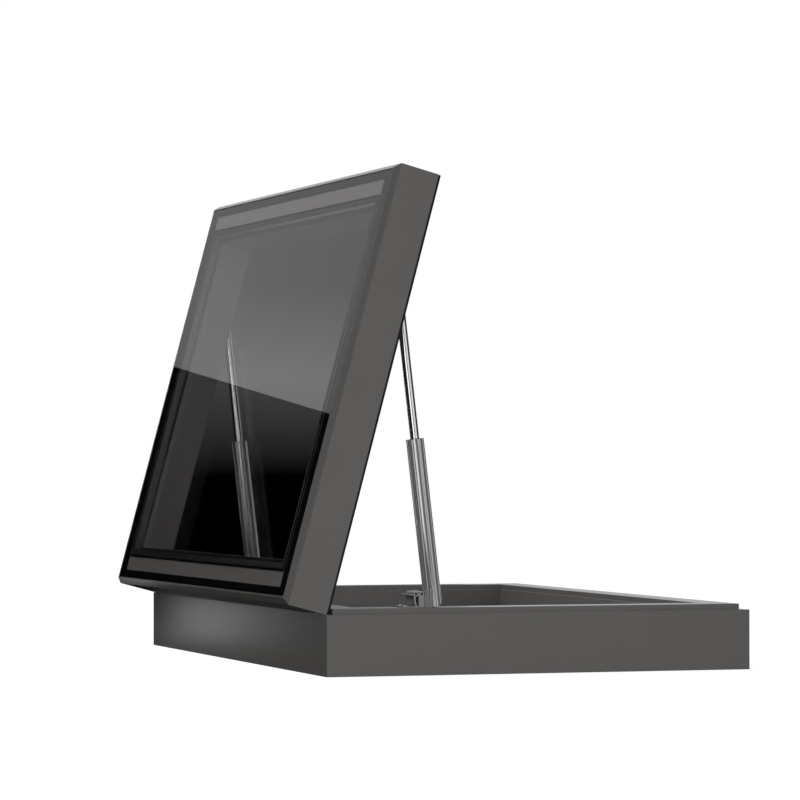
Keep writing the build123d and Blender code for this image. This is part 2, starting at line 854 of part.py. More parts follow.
stud_reach = tube_radius + pivot_plate_gap - open_pivot_gap
with BuildPart() as strut_stud:
    with BuildSketch(pivot_plane(upper_pivot, stud_reach)):
        Circle(pivot_pin_radius)
    extrude(amount=stud_reach + eye_width / 2)
    with BuildSketch(pivot_plane(upper_pivot, -eye_width / 2)):
        Circle(pin_head_radius)
    extrude(amount=pin_head_height)
write_pair(strut_stud, "strut_upper_stud")
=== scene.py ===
"""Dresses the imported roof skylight: powder-coated frame, tinted glazing, rubber seals and bright struts.

Metres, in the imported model's frame: +X from the hinge side to the opening side, +Y along the hinge,
+Z up. The sash stands open at rest, so what belongs to it is drawn closed and then turned open.
"""
import json
import logging
import math
from dataclasses import dataclass
from enum import Enum

import bmesh
import bpy
from mathutils import Matrix, Vector


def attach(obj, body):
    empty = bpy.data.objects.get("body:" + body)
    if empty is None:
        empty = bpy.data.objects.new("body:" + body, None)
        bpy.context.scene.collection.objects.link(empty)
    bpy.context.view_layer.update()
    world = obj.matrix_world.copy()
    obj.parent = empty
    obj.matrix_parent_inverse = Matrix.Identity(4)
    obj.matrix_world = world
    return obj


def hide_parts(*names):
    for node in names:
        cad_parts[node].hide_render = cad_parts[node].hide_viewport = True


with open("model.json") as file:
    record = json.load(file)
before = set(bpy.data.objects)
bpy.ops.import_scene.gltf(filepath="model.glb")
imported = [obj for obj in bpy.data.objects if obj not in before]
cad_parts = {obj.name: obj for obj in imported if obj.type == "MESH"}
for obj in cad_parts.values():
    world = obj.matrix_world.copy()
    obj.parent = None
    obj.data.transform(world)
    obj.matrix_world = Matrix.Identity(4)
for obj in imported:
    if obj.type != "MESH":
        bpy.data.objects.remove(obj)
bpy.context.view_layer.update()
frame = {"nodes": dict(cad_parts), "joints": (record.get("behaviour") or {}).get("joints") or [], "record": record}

Tree = bpy.types.NodeTree
Node = bpy.types.Node
Socket = bpy.types.NodeSocket
Piece = bpy.types.Object
Mesh = bmesh.types.BMesh
Point = tuple[float, float, float]
Profile = list[tuple[float, float]]
Panel = tuple[Vector, ...]

MM = 0.001
RIGHT_ANGLE = 90.0
LOG = logging.getLogger("skylight")
JOINTS = {joint["name"]: joint for joint in frame["joints"]}
SLOT_OF = {part["node"]: part["material_slot"] for part in frame["record"]["subparts"]}

# Sizes of the skylight in millimetres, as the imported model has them
PLAN_LENGTH = 1000.0
PLAN_WIDTH = 1500.0
SHOULDER_HEIGHT = 135.0
RING_TOP = 148.0
STRUT_INSET = 53.0

# How far the sash stands open and its struts lean, in degrees
CLOSED_ANGLE, REST_ANGLE = JOINTS["sash_hinge"]["range_deg"]
OPEN_ANGLE = REST_ANGLE - CLOSED_ANGLE
STRUT_AXIS = JOINTS["right_strut_slide"]["axis"]
STRUT_LEAN = math.degrees(math.atan2(-STRUT_AXIS[0], STRUT_AXIS[2]))

# Numbers of the sockets whose names a node uses more than once
MIX_FACTOR = 0
MIX_A = 6
MIX_B = 7
MIX_RESULT = 2
RANDOM_MAX = 3
RANDOM_VALUE = 1


class Side(Enum):
    """Side of the skylight, seen from the hinge, with the sign of its Y."""

    RIGHT = -1
    LEFT = 1

    @property
    def word(self) -> str:
        """Word that names of this side's pieces hold."""
        return self.name.lower()


class Head(Enum):
    """Shape of a screw's head."""

    PAN = "pan"
    COUNTERSUNK = "countersunk"


class Facing(Enum):
    """Way that a screw's head faces on the closed skylight, with the sign of its Z."""

    UP = 1
    DOWN = -1


class SeenIn(Enum):
    """What shows a studio flag."""

    REFLECTIONS = "reflections"
    GLASS = "glass"
    BOTH = "both"


# Colours, nodes and meshes
def linear(code: str) -> tuple[float, float, float, float]:
    """Turn an sRGB hex colour into linear light.

    Args:
        code: colour such as "#4a4846".

    Returns:
        Red, green, blue and an alpha of 1.
    """
    shares = [int(code[i : i + 2], 16) / 255 for i in (1, 3, 5)]
    r, g, b = (c / 12.92 if c <= 0.04045 else ((c + 0.055) / 1.055) ** 2.4 for c in shares)
    return r, g, b, 1.0


def per_metre(size_mm: float) -> float:
    """Scale of a pattern whose features have a size in millimetres."""
    return 1 / (size_mm * MM)


def add_node(tree: Tree, kind: str, inputs: dict | None = None, **settings: object) -> Node:
    """Add a node to a tree, with its settings and its inputs.

    Args:
        tree: tree that gets the node.
        kind: the node's type.
        inputs: value, or output socket to link from, by the input's name or number.
        settings: the node's own properties.

    Returns:
        The new node.
    """
    node = tree.nodes.new(kind)
    for name, value in settings.items():
        setattr(node, name, value)
    for key, value in (inputs or {}).items():
        if isinstance(value, Socket):
            tree.links.new(value, node.inputs[key])
        else:
            node.inputs[key].default_value = value
    return node


def new_geometry_tree(name: str, inputs: dict[str, str]) -> Tree:
    """Start a geometry tree that takes geometry and named inputs, and gives geometry.

    Args:
        name: the tree's name.
        inputs: kind of each further input, by its name.

    Returns:
        The tree, with no nodes yet.
    """
    tree = bpy.data.node_groups.new(name, "GeometryNodeTree")
    tree.interface.new_socket("Geometry", in_out="INPUT", socket_type="NodeSocketGeometry")
    for socket, kind in inputs.items():
        tree.interface.new_socket(socket, in_out="INPUT", socket_type=f"NodeSocket{kind}")
    tree.interface.new_socket("Geometry", in_out="OUTPUT", socket_type="NodeSocketGeometry")
    return tree


def add_geometry_tree(piece: Piece, tree: Tree, values: dict[str, object]) -> None:
    """Put a geometry tree on a piece and set its inputs by their identifiers.

    Args:
        piece: piece that gets the tree.
        tree: the tree.
        values: value of each input, by its name.
    """
    modifier = piece.modifiers.new(tree.name, "NODES")
    modifier.node_group = tree
    for item in tree.interface.items_tree:
        if item.in_out == "INPUT" and item.name in values:
            modifier[item.identifier] = values[item.name]


def new_piece(name: str, build: Mesh, place: Matrix | None = None) -> Piece:
    """Turn a finished bmesh into an object at the origin.

    Args:
        name: the piece's name.
        build: mesh under construction, which is freed.
        place: carries the mesh to its place, if it was drawn elsewhere.

    Returns:
        The linked object.
    """
    bmesh.ops.recalc_face_normals(build, faces=build.faces)
    mesh = bpy.data.meshes.new(name)
    build.to_mesh(mesh)
    build.free()
    if place is not None:
        mesh.transform(place)
    piece = bpy.data.objects.new(name, mesh)
    bpy.context.scene.collection.objects.link(piece)
    return piece


def smooth_by_angle(piece: Piece, degrees: float) -> None:
    """Shade a piece smooth, with its edges sharp past an angle."""
    piece.data.shade_smooth()
    piece.data.set_sharp_from_angle(angle=math.radians(degrees))


def seat(piece: Piece, body: str, slot: str, node: str) -> None:
    """Give a piece its finish and its body, and hide the CAD node that it stands for.

    Args:
        piece: finished piece.
        body: CAD body that it moves with.
        slot: the record's material slot.
        node: CAD node that it stands for, which is hidden.
    """
    piece.data.materials.clear()
    piece.data.materials.append(MATERIALS[slot])
    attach(piece, body)
    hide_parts(node)
    LOG.info("%s rides on %s with %d faces", piece.name, body, len(piece.data.polygons))


def sash_turn() -> Matrix:
    """Find how the closed sash is carried to its place at rest, which is open.

    Returns:
        The turn about the hinge.
    """
    joint = JOINTS["sash_hinge"]
    pivot = Matrix.Translation(Vector(joint["pos_m"]))
    turn = Matrix.Rotation(math.radians(OPEN_ANGLE), 4, Vector(joint["axis"]))
    return pivot @ turn @ pivot.inverted()


def lathe(profile: Profile, segments: int, hex_from: int | None = None, capped: bool = False) -> Mesh:
    """Turn a profile about Z, with the rings from a certain one on made six-sided.

    Args:
        profile: radius and height of each ring, in millimetres.
        segments: number of sides of a ring, a multiple of six.
        hex_from: first ring that is a hexagon, if any.
        capped: whether the first and the last ring are closed.

    Returns:
        The turned mesh.
    """
    build = bmesh.new()
    rings = []
    for k, (radius, height) in enumerate(profile):
        ring = []
        for i in range(segments):
            angle = 2 * math.pi * i / segments
            reach = radius * MM
            if hex_from is not None and k >= hex_from:
                off = (angle + math.pi / 6) % (math.pi / 3) - math.pi / 6
                reach /= math.cos(off)
            ring.append(build.verts.new((reach * math.cos(angle), reach * math.sin(angle), height * MM)))
        rings.append(ring)
    for this, other in zip(rings, rings[1:]):
        for i in range(segments):
            build.faces.new((this[i], this[(i + 1) % segments], other[(i + 1) % segments], other[i]))
    if capped:
        build.faces.new(rings[0])
        build.faces.new(rings[-1])
    return build


# Finishes
@dataclass(frozen=True)
class Finish:
    """A surface finish, named for the real material."""

    name: str
    colour: str
    roughness: float

    def material(self) -> bpy.types.Material:
        """Build the finish as a material.

        Returns:
            The material, with its patterns fixed to the piece.
        """
        made = bpy.data.materials.new(self.name)
        made.use_nodes = True
        tree = made.node_tree
        shader = tree.nodes["Principled BSDF"]
        shader.inputs["Base Color"].default_value = linear(self.colour)
        shader.inputs["Roughness"].default_value = self.roughness
        self.dress(tree, shader, add_node(tree, "ShaderNodeTexCoord").outputs["Object"])
        return made

    def dress(self, tree: Tree, shader: Node, place: Socket) -> None:
        """Add what this kind of surface shows beyond its colour and gloss."""
        raise NotImplementedError

    def vary(self, tree: Tree, shader: Node, pattern: Socket, by: float) -> None:
        """Let the roughness go up and down with a pattern.

        Args:
            tree: the material's tree.
            shader: its main shader.
            pattern: pattern from 0 to 1.
            by: most that the roughness departs from its value.
        """
        span = {"Value": pattern, "To Min": self.roughness - by, "To Max": self.roughness + by}
        rough = add_node(tree, "ShaderNodeMapRange", span)
        tree.links.new(rough.outputs["Result"], shader.inputs["Roughness"])


@dataclass(frozen=True)
class PowderCoat(Finish):
    """Baked powder on aluminium: an even satin colour with a faint orange peel."""

    shade: str
    peel_mm: float
    peel_depth_mm: float
    cloud_mm: float
    gloss_change: float

    def dress(self, tree: Tree, shader: Node, place: Socket) -> None:
        """Add clouds of shade and the orange peel, drawn coarser than its real 1 mm so that it shows.

        Args:
            tree: the material's tree.
            shader: its main shader.
            place: where a point lies on the piece.
        """
        cloud = add_node(
            tree, "ShaderNodeTexNoise", {"Vector": place, "Scale": per_metre(self.cloud_mm), "Detail": 3.0}
        ).outputs["Fac"]
        mixed = add_node(
            tree,
            "ShaderNodeMix",
            {MIX_FACTOR: cloud, MIX_A: linear(self.shade), MIX_B: linear(self.colour)},
            data_type="RGBA",
        )
        tree.links.new(mixed.outputs[MIX_RESULT], shader.inputs["Base Color"])
        peel = add_node(
            tree, "ShaderNodeTexNoise", {"Vector": place, "Scale": per_metre(self.peel_mm), "Detail": 2.0}
        )
        bump = add_node(
            tree, "ShaderNodeBump", {"Distance": self.peel_depth_mm * MM, "Height": peel.outputs["Fac"]}
        )
        tree.links.new(bump.outputs["Normal"], shader.inputs["Normal"])
        self.vary(tree, shader, cloud, self.gloss_change)


@dataclass(frozen=True)
class FloatGlass(Finish):
    """Float glass: clear through, mirror-smooth, with the faint roller wave of toughened panes."""

    ior: float
    wave_mm: float
    wave_depth_mm: float

    def dress(self, tree: Tree, shader: Node, place: Socket) -> None:
        """Make it bend and tint light, with a slow ripple in its reflections.

        Args:
            tree: the material's tree.
            shader: its main shader.
            place: where a point lies on the piece.
        """
        shader.inputs["Transmission Weight"].default_value = 1.0
        shader.inputs["IOR"].default_value = self.ior
        wave = add_node(
            tree, "ShaderNodeTexNoise", {"Vector": place, "Scale": per_metre(self.wave_mm), "Detail": 0.0}
        )
        bump = add_node(
            tree, "ShaderNodeBump", {"Distance": self.wave_depth_mm * MM, "Height": wave.outputs["Fac"]}
        )
        tree.links.new(bump.outputs["Normal"], shader.inputs["Normal"])


@dataclass(frozen=True)
class Rubber(Finish):
    """Extruded rubber or tooled silicone: black, with a fine skin that breaks the shine."""

    skin_mm: float
    skin_depth_mm: float
    gloss_change: float
    sheen: float = 0.15

    def dress(self, tree: Tree, shader: Node, place: Socket) -> None:
        """Add the skin's grain and patches of shine.

        Args:
            tree: the material's tree.
            shader: its main shader.
            place: where a point lies on the piece.
        """
        shader.inputs["Specular IOR Level"].default_value = self.sheen
        skin = add_node(
            tree, "ShaderNodeTexNoise", {"Vector": place, "Scale": per_metre(self.skin_mm), "Detail": 4.0}
        ).outputs["Fac"]
        bump = add_node(tree, "ShaderNodeBump", {"Distance": self.skin_depth_mm * MM, "Height": skin})
        tree.links.new(bump.outputs["Normal"], shader.inputs["Normal"])
        self.vary(tree, shader, skin, self.gloss_change)


@dataclass(frozen=True)
class DrawnMetal(Finish):
    """Bare metal with the fine lines that drawing, extruding or polishing leaves along it."""

    line_mm: float
    run_mm: float
    gloss_change: float
    turn_deg: float = 0.0
    along_y: bool = False
    metallic: float = 1.0

    def dress(self, tree: Tree, shader: Node, place: Socket) -> None:
        """Add draw lines, coarser than the real ones so that they show, and long along the piece.

        Args:
            tree: the material's tree.
            shader: its main shader.
            place: where a point lies on the piece.
        """
        shader.inputs["Metallic"].default_value = self.metallic
        turn = (0, math.radians(self.turn_deg), 0)
        upright = add_node(tree, "ShaderNodeMapping", {"Vector": place, "Rotation": turn})
        fine = per_metre(self.line_mm)
        long = per_metre(self.run_mm)
        scale = (fine, long, fine) if self.along_y else (fine, fine, long)
        drawn = add_node(
            tree, "ShaderNodeMapping", {"Vector": upright.outputs["Vector"], "Scale": scale}
        )
        lines = add_node(
            tree, "ShaderNodeTexNoise", {"Vector": drawn.outputs["Vector"], "Scale": 1.0, "Detail": 3.0}
        )
        self.vary(tree, shader, lines.outputs["Fac"], self.gloss_change)


@dataclass(frozen=True)
class PlatedSteel(Finish):
    """Zinc-plated steel: cool grey, with soft patches of dullness."""

    tarnish: str
    patch_mm: float
    gloss_change: float

    def dress(self, tree: Tree, shader: Node, place: Socket) -> None:
        """Add the patches to the colour and the gloss.

        Args:
            tree: the material's tree.
            shader: its main shader.
            place: where a point lies on the piece.
        """
        shader.inputs["Metallic"].default_value = 1.0
        patch = add_node(
            tree, "ShaderNodeTexNoise", {"Vector": place, "Scale": per_metre(self.patch_mm), "Detail": 4.0}
        ).outputs["Fac"]
        mixed = add_node(
            tree,
            "ShaderNodeMix",
            {MIX_FACTOR: patch, MIX_A: linear(self.tarnish), MIX_B: linear(self.colour)},
            data_type="RGBA",
        )
        tree.links.new(mixed.outputs[MIX_RESULT], shader.inputs["Base Color"])
        self.vary(tree, shader, patch, self.gloss_change)


@dataclass(frozen=True)
class PerforatedBar(Finish):
    """Anodised spacer bar with rows of small breathing holes."""

    hole: str
    pitch_mm: float
    hole_share: float
    turn_deg: float

    def dress(self, tree: Tree, shader: Node, place: Socket) -> None:
        """Draw the holes as dark dots on a square grid that follows the open sash.

        Args:
            tree: the material's tree.
            shader: its main shader.
            place: where a point lies on the piece.
        """
        shader.inputs["Metallic"].default_value = 1.0
        turn = (0, math.radians(self.turn_deg), 0)
        level = add_node(tree, "ShaderNodeMapping", {"Vector": place, "Rotation": turn})
        grid = add_node(
            tree,
            "ShaderNodeTexVoronoi",
            {"Vector": level.outputs["Vector"], "Scale": per_metre(self.pitch_mm), "Randomness": 0.0},
        )
        solid = add_node(
            tree,
            "ShaderNodeMath",
            {0: grid.outputs["Distance"], 1: self.hole_share},
            operation="GREATER_THAN",
        )
        mixed = add_node(
            tree,
            "ShaderNodeMix",
            {MIX_FACTOR: solid.outputs["Value"], MIX_A: linear(self.hole), MIX_B: linear(self.colour)},
            data_type="RGBA",
        )
        tree.links.new(mixed.outputs[MIX_RESULT], shader.inputs["Base Color"])


FINISHES: dict[str, Finish] = {
    # Warm dark grey with a satin shine
    "frame_coat": PowderCoat(
        "powder_coated_aluminium",
        "#53514f",
        roughness=0.32,
        shade="#4f4d4b",
        peel_mm=4.0,
        peel_depth_mm=0.015,
        cloud_mm=120.0,
        gloss_change=0.02,
    ),
    # Mirrors what is round it and lets most light through
    "tinted_glass": FloatGlass(
        "grey_tinted_float_glass",
        "#f1f0f0",
        roughness=0.0,
        ior=1.5,
        wave_mm=420.0,
        wave_depth_mm=0.01,
    ),
    # A coating takes away much of this pane's reflection, so its index is lower than plain glass
    "clear_glass": FloatGlass(
        "coated_clear_float_glass",
        "#fafafa",
        roughness=0.0,
        ior=1.2,
        wave_mm=380.0,
        wave_depth_mm=0.01,
    ),
    # Dull black with a fine grain
    "black_rubber": Rubber(
        "black_epdm_rubber", "#0e0e0e", roughness=0.55, skin_mm=2.0, skin_depth_mm=0.06, gloss_change=0.08
    ),
    # Deep black with hardly any shine, seen through the outer pane
    "black_sealant": Rubber(
        "black_silicone",
        "#050505",
        roughness=0.42,
        skin_mm=14.0,
        skin_depth_mm=0.02,
        gloss_change=0.04,
        sheen=0.03,
    ),
    # Dark grey bar with dots along it
    "spacer_aluminium": PerforatedBar(
        "dark_anodised_spacer",
        "#474747",
        roughness=0.4,
        hole="#0a0a0a",
        pitch_mm=6.0,
        hole_share=0.14,
        turn_deg=OPEN_ANGLE,
    ),
    # The oxide skin of anodised aluminium scatters some of the light, so it isn't all metallic
    "bracket_aluminium": DrawnMetal(
        "anodised_extruded_aluminium",
        "#747474",
        roughness=0.38,
        line_mm=3.0,
        run_mm=120.0,
        gloss_change=0.05,
        along_y=True,
        metallic=0.65,
    ),
    "strut_metal": DrawnMetal(
        "polished_anodised_aluminium",
        "#acacac",
        roughness=0.08,
        line_mm=4.0,
        run_mm=300.0,
        gloss_change=0.02,
        turn_deg=STRUT_LEAN,
        metallic=0.7,
    ),
    # Mirror-bright, with faint lines along the rod
    "chromed_steel": DrawnMetal(
        "hard_chromed_steel",
        "#d3d4d6",
        roughness=0.07,
        line_mm=2.5,
        run_mm=400.0,
        gloss_change=0.03,
        turn_deg=STRUT_LEAN,
    ),
    # Cool grey, brighter and duller in patches
    "steel": PlatedSteel(
        "zinc_plated_steel", "#b4b6b9", roughness=0.4, tarnish="#8f9194", patch_mm=9.0, gloss_change=0.08
    ),
}
MATERIALS: dict[str, bpy.types.Material] = {slot: finish.material() for slot, finish in FINISHES.items()}


# Sub-assemblies
@dataclass
class FrameEdges:
    """Small rounds on the edges of the frame's and the brackets' CAD pieces, which catch the light."""

    weld_mm: float = 0.002
    rounds_mm: tuple[tuple[str, float], ...] = (("frame_coat", 0.6), ("bracket_aluminium", 0.4))
    segments: int = 2
    sharp_deg: float = 40.0
    flat_deg: float = 0.5

    def shading_tree(self) -> Tree:
        """Build the tree that joins a CAD mesh's loose faces and shades it by angle.

        Returns:
            The tree.
        """
        tree = new_geometry_tree("edge_shading", {"Weld Distance": "Float", "Sharp Angle": "Float"})
        given = add_node(tree, "NodeGroupInput").outputs
        bare = add_node(
            tree, "GeometryNodeRemoveAttribute", {"Geometry": given["Geometry"], "Name": "custom_normal"}
        )
        joined = add_node(
            tree,
            "GeometryNodeMergeByDistance",
            {"Geometry": bare.outputs["Geometry"], "Distance": given["Weld Distance"]},
        )
        smooth = add_node(
            tree, "GeometryNodeSetShadeSmooth", {"Geometry": joined.outputs["Geometry"]}, domain="FACE"
        )
        angle = add_node(tree, "GeometryNodeInputMeshEdgeAngle")
        sharp = add_node(
            tree,
            "FunctionNodeCompare",
            {"A": angle.outputs["Unsigned Angle"], "B": given["Sharp Angle"]},
            operation="GREATER_THAN",
        )
        creased = add_node(
            tree,
            "GeometryNodeSetShadeSmooth",
            {
                "Geometry": smooth.outputs["Geometry"],
                "Selection": sharp.outputs["Result"],
                "Shade Smooth": False,
            },
            domain="EDGE",
        )
        add_node(tree, "NodeGroupOutput", {"Geometry": creased.outputs["Geometry"]})
        return tree

    def build(self) -> None:
        """Put the joining, the shading and the rounds on each CAD piece whose slot has a round width."""
        tree = self.shading_tree()
        sharp = math.radians(self.sharp_deg)
        rounds = dict(self.rounds_mm)
        for name, node in frame["nodes"].items():
            width = rounds.get(SLOT_OF[name])
            if width is None:
                continue
            add_geometry_tree(node, tree, {"Weld Distance": self.weld_mm * MM, "Sharp Angle": sharp})
            flat = node.modifiers.new("flat_faces", "DECIMATE")
            flat.decimate_type = "DISSOLVE"
            flat.angle_limit = math.radians(self.flat_deg)
            edge = node.modifiers.new("edge_round", "BEVEL")
            edge.width = width * MM
            edge.segments = self.segments
            edge.limit_method = "ANGLE"
            edge.angle_limit = sharp
            edge.harden_normals = True
            LOG.info("%s has its edges rounded", name)


@dataclass
class RingPiece:
    """A piece that runs round the sash with one section and mitred corners."""

    name: str
    slot: str
    node: str
    hinge_inset_mm: float | None = None
    sharp_deg: float = 50.0

    def section(self) -> Profile:
        """Outline of the section: inset from the sash's edge, and height above the shoulder."""
        raise NotImplementedError

    def build(self) -> None:
        """Sweep the section round the sash, open it and seat it."""
        section = self.section()
        outer = min(inset for inset, _ in section)
        inner = max(inset for inset, _ in section)
        start = outer if self.hinge_inset_mm is None else self.hinge_inset_mm
        build = bmesh.new()
        loops = []
        for inset, height in section:
            hinge_inset = inner - (inner - inset) * (inner - start) / (inner - outer)
            hinge_x = hinge_inset - PLAN_LENGTH / 2
            open_x = PLAN_LENGTH / 2 - inset
            end_y = PLAN_WIDTH / 2 - inset
            level = SHOULDER_HEIGHT + height
            corners = ((hinge_x, -end_y), (open_x, -end_y), (open_x, end_y), (hinge_x, end_y))
            loops.append([build.verts.new((x * MM, y * MM, level * MM)) for x, y in corners])
        for this, other in zip(loops, loops[1:] + loops[:1]):
            for i in range(len(this)):
                build.faces.new((this[i - 1], this[i], other[i], other[i - 1]))
        piece = new_piece(self.name, build, sash_turn())
        smooth_by_angle(piece, self.sharp_deg)
        seat(piece, "sash", self.slot, self.node)


@dataclass
class LippedSeal(RingPiece):
    """Weather seal under the sash's leg: a flat back with rounded lips that press on the shoulder."""

    outer_mm: float = 1.0
    inner_mm: float = 15.5
    back_mm: float = 6.0
    root_mm: float = 1.0
    tip_mm: float = 0.4
    lips: int = 3
    steps: int = 10

    def section(self) -> Profile:
        """Draw the back, then the lips as half waves.

        Returns:
            The outline.
        """
        count = self.lips * self.steps
        points = [(self.inner_mm, self.back_mm), (self.outer_mm, self.back_mm)]
        for i in range(count + 1):
            wave = abs(math.sin(math.pi * self.lips * i / count))
            inset = self.outer_mm + (self.inner_mm - self.outer_mm) * i / count
            points.append((inset, self.root_mm - (self.root_mm - self.tip_mm) * wave))
        return points


@dataclass
class BeadedGasket(RingPiece):
    """Gasket between the inner pane and its ledge, with a half-round bead along its free edge."""

    outer_mm: float = 70.0
    inner_mm: float = 98.0
    low_mm: float = 77.0
    high_mm: float = 79.5
    steps: int = 8

    def section(self) -> Profile:
        """Draw a flat strip that ends in a half circle.

        Returns:
            The outline.
        """
        radius = (self.high_mm - self.low_mm) / 2
        points = [(self.outer_mm, self.high_mm), (self.outer_mm, self.low_mm)]
        for i in range(self.steps + 1):
            angle = math.pi * (i / self.steps - 0.5)
            inset = self.inner_mm + radius * math.cos(angle)
            points.append((inset, self.low_mm + radius * (1 + math.sin(angle))))
        return points


@dataclass
class Pane:
    """Pane of the glazing unit, with ground arrises along its edges."""

    name: str
    slot: str
    node: str
    inset_mm: float
    low_mm: float
    thickness_mm: float = 6.0
    arris_mm: float = 0.8
    wet_mm: float = 0.05

    def build(self) -> None:
        """Make the pane as a bevelled slab, sunk a hair into the sealant that wets it, and seat it."""
        build = bmesh.new()
        bmesh.ops.create_cube(build, size=1.0)
        size = (
            (PLAN_LENGTH - 2 * self.inset_mm) * MM,
            (PLAN_WIDTH - 2 * self.inset_mm) * MM,
            (self.thickness_mm + 2 * self.wet_mm) * MM,
        )
        level = (SHOULDER_HEIGHT + self.low_mm + self.thickness_mm / 2) * MM
        bmesh.ops.scale(build, vec=size, verts=build.verts)
        bmesh.ops.translate(build, vec=(0, 0, level), verts=build.verts)
        bmesh.ops.bevel(
            build, geom=build.edges[:], offset=self.arris_mm * MM, segments=1, affect="EDGES", profile=0.5
        )
        piece = new_piece(self.name, build, sash_turn())
        # Glass lets daylight through, so it throws no shadow
        piece.visible_shadow = False
        seat(piece, "sash", self.slot, self.node)


@dataclass(frozen=True)
class Screw:
    """A screw with a six-sided socket: its radii, lengths and fine edges."""

    head: Head
    shank_mm: float
    head_mm: float
    length_mm: float
    socket_mm: float
    socket_depth_mm: float
    rise_mm: float = 0.0
    edge_mm: float = 0.06
    socket_edge_mm: float = 0.12
    drill_point_mm: float = 0.3
    centre_mm: float = 0.01
    rim_share: float = 0.35
    crown_share: float = 0.62
    crown_steps: int = 6
    segments: int = 36
    sharp_deg: float = 35.0

    def outside(self) -> Profile:
        """Draw the screw from its tip to the top of its head.

        Returns:
            Radius and height of each ring.
        """
        tip = [(self.centre_mm, -self.length_mm), (self.shank_mm, -self.length_mm)]
        if self.head is Head.COUNTERSUNK:
            return tip + [
                (self.shank_mm, self.shank_mm - self.head_mm),
                (self.head_mm, -self.edge_mm),
                (self.head_mm - self.edge_mm, 0.0),
            ]
        dome = [(self.shank_mm, 0.0), (self.head_mm, 0.0), (self.head_mm, self.rise_mm * self.rim_share)]
        for step in range(1, self.crown_steps + 1):
            angle = math.pi / 2 * step / self.crown_steps
            out = self.crown_share + (1 - self.crown_share) * math.cos(angle)
            up = self.rim_share + (1 - self.rim_share) * math.sin(angle)
            dome.append((self.head_mm * out, self.rise_mm * up))
        return tip + dome

    def socket(self) -> Profile:
        """Draw the socket from the top of the head to its drilled floor.

        Returns:
            Half the width across flats, and the height, of each ring.
        """
        floor = self.rise_mm - self.socket_depth_mm
        return [
            (self.socket_mm + self.socket_edge_mm, self.rise_mm),
            (self.socket_mm, self.rise_mm - self.socket_edge_mm),
            (self.socket_mm, floor),
            (self.centre_mm, floor - self.drill_point_mm),
        ]

    def build(self, name: str) -> Piece:
        """Make one screw, its seat at the origin and its head along +Z.

        Args:
            name: the screw's name.

        Returns:
            The screw, to be set where it is needed.
        """
        outside = self.outside()
        build = lathe(outside + self.socket(), self.segments, len(outside), capped=True)
        made = new_piece(name, build)
        smooth_by_angle(made, self.sharp_deg)
        return made


@dataclass
class ScrewSet:
    """Like screws that share a body, set by a node tree on points that hold their axes."""

    name: str
    node: str
    body: str
    screw: Screw
    facing: Facing
    places_mm: list[Point]
    seed: int = 7

    def tree(self) -> Tree:
        """Build the tree that sets a screw on each point, turned to its axis and spun by chance.

        Returns:
            The tree.
        """
        inputs = {"Screw": "Object", "Finish": "Material", "Seed": "Int"}
        tree = new_geometry_tree(f"{self.name}_field", inputs)
        given = add_node(tree, "NodeGroupInput").outputs
        shape = add_node(tree, "GeometryNodeObjectInfo", {"Object": given["Screw"]})
        axis = add_node(
            tree, "GeometryNodeInputNamedAttribute", {"Name": "axis"}, data_type="FLOAT_VECTOR"
        )
        upright = add_node(
            tree, "FunctionNodeAlignRotationToVector", {"Vector": axis.outputs["Attribute"]}, axis="Z"
        )
        chance = add_node(
            tree,
            "FunctionNodeRandomValue",
            {RANDOM_MAX: 2 * math.pi, "Seed": given["Seed"]},
            data_type="FLOAT",
        )
        spin = add_node(tree, "ShaderNodeCombineXYZ", {"Z": chance.outputs[RANDOM_VALUE]})
        turn = add_node(tree, "FunctionNodeEulerToRotation", {"Euler": spin.outputs["Vector"]})
        turned = add_node(
            tree,
            "FunctionNodeRotateRotation",
            {"Rotation": upright.outputs["Rotation"], "Rotate By": turn.outputs["Rotation"]},
            rotation_space="LOCAL",
        )
        placed = add_node(
            tree,
            "GeometryNodeInstanceOnPoints",
            {
                "Points": given["Geometry"],
                "Instance": shape.outputs["Geometry"],
                "Rotation": turned.outputs["Rotation"],
            },
        )
        real = add_node(tree, "GeometryNodeRealizeInstances", {"Geometry": placed.outputs["Instances"]})
        dressed = add_node(
            tree,
            "GeometryNodeSetMaterial",
            {"Geometry": real.outputs["Geometry"], "Material": given["Finish"]},
        )
        add_node(tree, "NodeGroupOutput", {"Geometry": dressed.outputs["Geometry"]})
        return tree

    def build(self) -> None:
        """Set the screws, turn them into one plain mesh and seat it."""
        turn = sash_turn() if self.body == "sash" else Matrix.Identity(4)
        mesh = bpy.data.meshes.new(self.name)
        mesh.from_pydata([turn @ (Vector(place) * MM) for place in self.places_mm], [], [])
        axis = turn.to_3x3() @ Vector((0, 0, self.facing.value))
        holder = mesh.attributes.new("axis", "FLOAT_VECTOR", "POINT")
        for item in holder.data:
            item.vector = axis
        piece = bpy.data.objects.new(self.name, mesh)
        bpy.context.scene.collection.objects.link(piece)
        one = self.screw.build(f"{self.name}_one")
        values = {"Screw": one, "Finish": MATERIALS["steel"], "Seed": self.seed}
        add_geometry_tree(piece, self.tree(), values)
        graph = bpy.context.evaluated_depsgraph_get()
        plain = bpy.data.meshes.new_from_object(piece.evaluated_get(graph))
        piece.modifiers.clear()
        piece.data = plain
        plain.name = self.name
        bpy.data.objects.remove(one)
        seat(piece, self.body, "steel", self.node)


